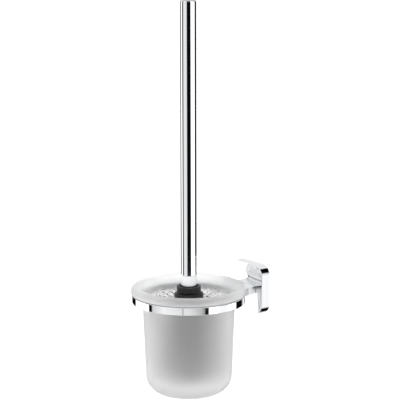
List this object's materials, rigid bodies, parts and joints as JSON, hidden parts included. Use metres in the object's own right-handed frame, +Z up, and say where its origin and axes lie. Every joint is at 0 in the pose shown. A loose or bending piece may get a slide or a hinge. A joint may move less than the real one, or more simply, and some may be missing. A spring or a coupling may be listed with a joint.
{
  "type": "wall-mounted toilet brush holder",
  "caption": "Wall-mounted toilet brush holder: a frosted glass cup hangs by its rim in a chrome ring on an arm and rosette, with a long-handled brush standing in it.",
  "frame": {"origin": "middle of the rosette's back face, on the wall plane, level with the middle of the ring", "axes": "+Z up along the handle; +Y into the wall, so the holder stands out towards -Y; +X to the right for someone facing the wall"},
  "size_m": [0.1136, 0.1396, 0.3873],
  "materials": {
    "chrome": "polished",
    "steel": "satin",
    "brass": "machined",
    "black_plastic": "moulded satin",
    "liner_plastic": "moulded satin",
    "frosted_glass": "frosted",
    "nylon_bristle": "cut filaments"
  },
  "bodies": {
    "bracket": {"wall_plate": "steel", "rosette_cover": "chrome", "grub_screw": "steel", "arm": "chrome", "arm_screw_left": "steel", "arm_screw_right": "steel", "holder_ring": "chrome", "ring_screw_left": "steel", "ring_screw_right": "steel", "ring_liner": "liner_plastic"},
    "cup": {"glass_cup": "frosted_glass"},
    "brush_head": {"brush_core": "black_plastic", "head_stud": "steel", "bristle_tier_1": "nylon_bristle", "bristle_tier_2": "nylon_bristle", "bristle_tier_3": "nylon_bristle", "bristle_tier_4": "nylon_bristle", "bristle_tier_5": "nylon_bristle", "bristle_tier_6": "nylon_bristle", "bristle_tier_7": "nylon_bristle", "bristle_tier_8": "nylon_bristle", "bristle_tier_9": "nylon_bristle", "bristle_end_tuft": "nylon_bristle"},
    "handle": {"handle_tube": "chrome", "handle_end_cap": "chrome", "collar": "black_plastic", "thread_insert": "brass"}
  },
  "joints": [
    {"name": "cup_lift", "type": "slide", "parent": "bracket", "child": "cup", "axis": [0, 0, 1], "range_m": [0, 0.105]},
    {"name": "brush_lift", "type": "slide", "parent": "cup", "child": "brush_head", "axis": [0, 0, 1], "range_m": [0, 0.105]},
    {"name": "head_unscrew", "type": "hinge", "parent": "brush_head", "child": "handle", "pos_m": [0, -0.0828, 0.00545], "axis": [0, 0, 1], "continuous": true}
  ]
}
